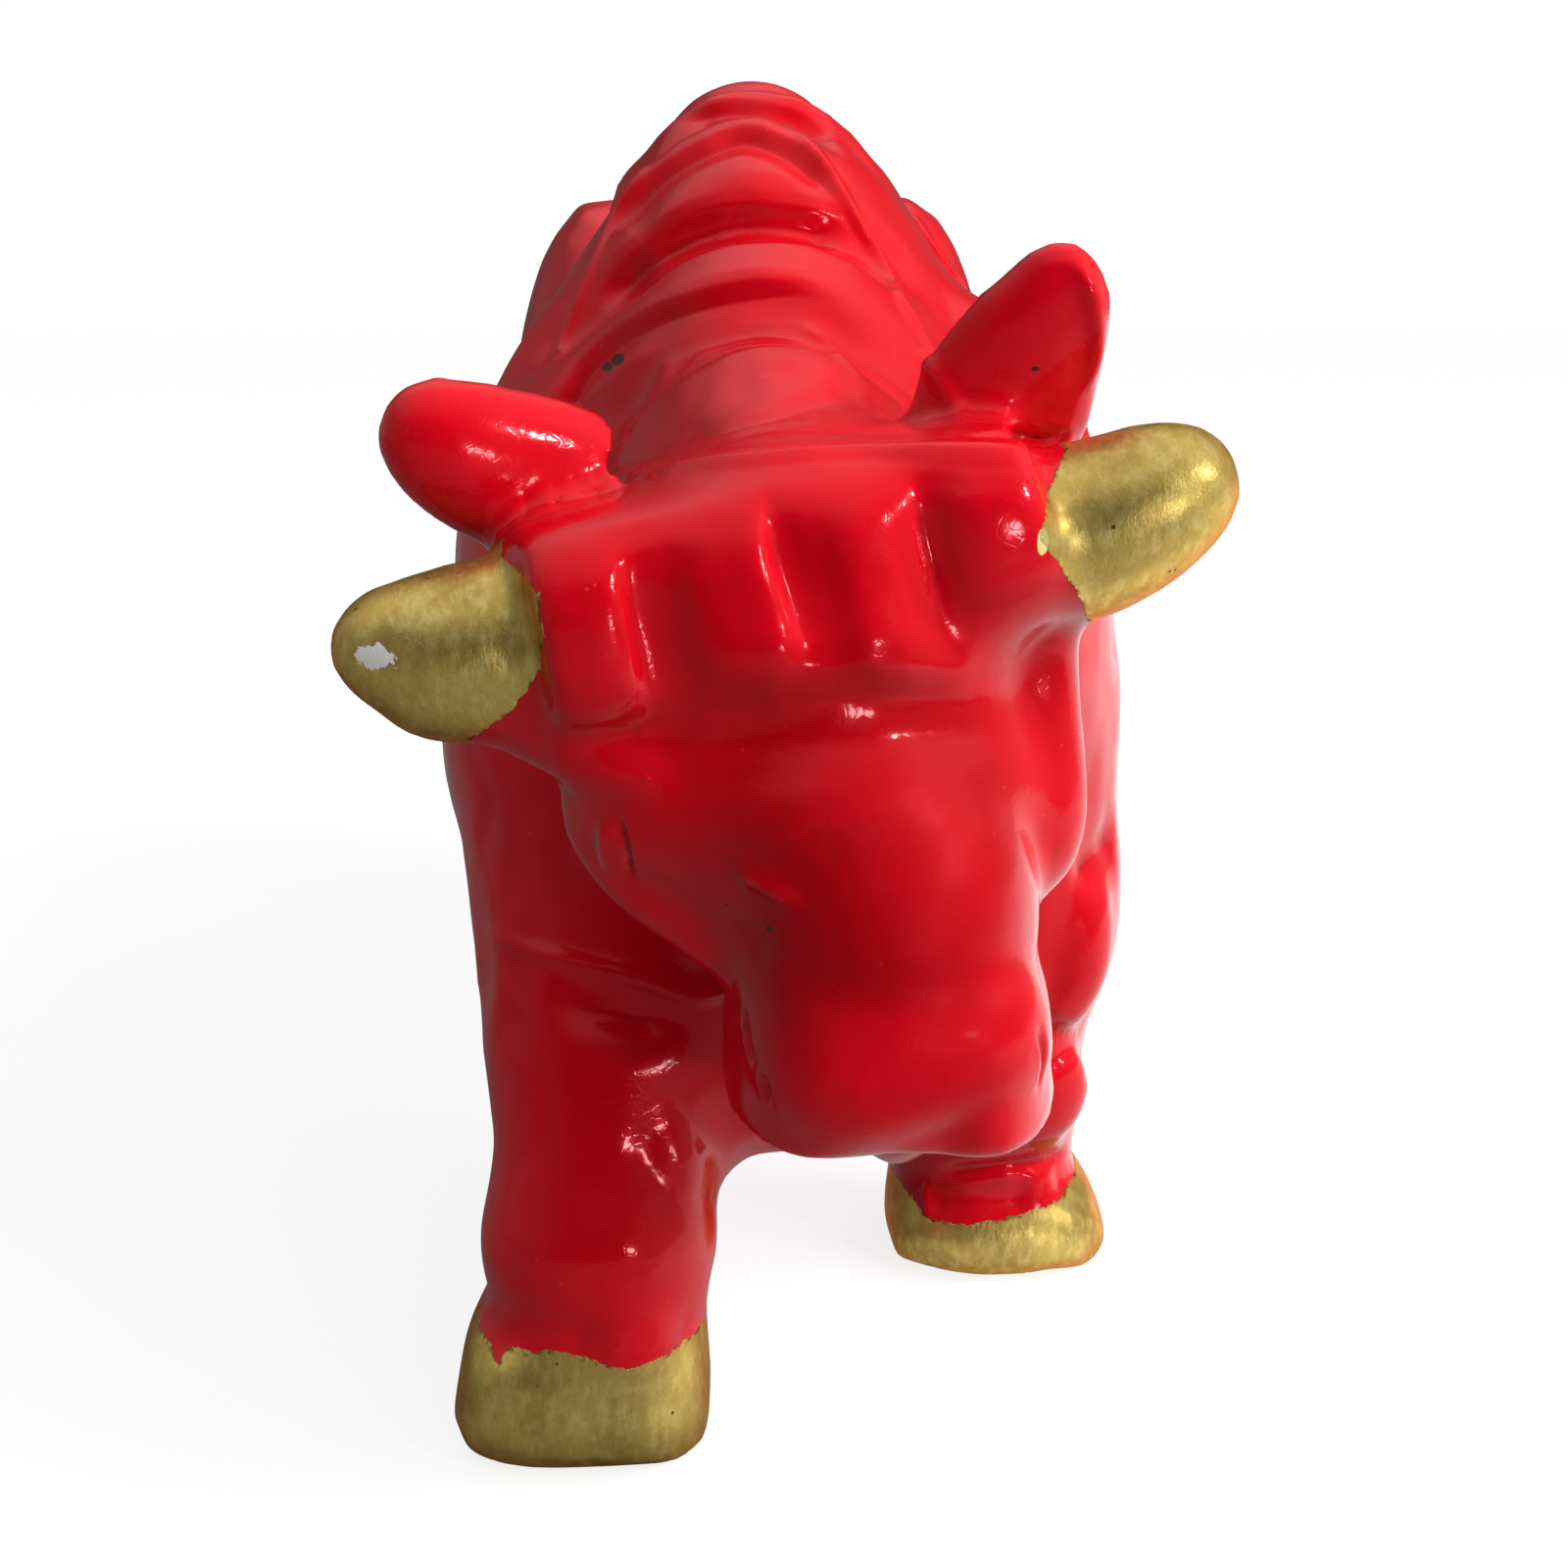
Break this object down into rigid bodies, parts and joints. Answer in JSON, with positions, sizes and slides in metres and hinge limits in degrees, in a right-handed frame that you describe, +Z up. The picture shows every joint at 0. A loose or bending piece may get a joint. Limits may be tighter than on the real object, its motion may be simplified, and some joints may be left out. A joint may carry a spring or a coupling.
{
  "type": "bull figurine",
  "caption": "Hollow slip-cast glazed ceramic bull standing with its head lowered and turned; glossy red with gold-painted horns and hooves.",
  "frame": {"origin": "on the ground plane, under the middle of the whole figure", "axes": "+Z up, -Y the way the bull faces, +X the bull's own left side"},
  "size_m": [0.0936, 0.25, 0.1561],
  "materials": {
    "red_glaze": "high gloss crimson glaze, a little darker where it pools, with a few pinholes and specks",
    "gold_paint": "brushed gold paint on glazed ceramic, mottled olive and brass, dark grime at its edges"
  },
  "bodies": {
    "root": {"torso_shell": "red_glaze", "neck_shell": "red_glaze", "head_shell": "red_glaze", "ear_right": "red_glaze", "ear_left": "red_glaze", "foreleg_right": "red_glaze", "foreleg_left": "red_glaze", "hind_leg_right": "red_glaze", "hind_leg_left": "red_glaze", "tail": "red_glaze", "horn_right": "gold_paint", "horn_left": "gold_paint", "forehoof_right": "gold_paint", "forehoof_left": "gold_paint", "hind_hoof_right": "gold_paint", "hind_hoof_left": "gold_paint"}
  },
  "joints": []
}
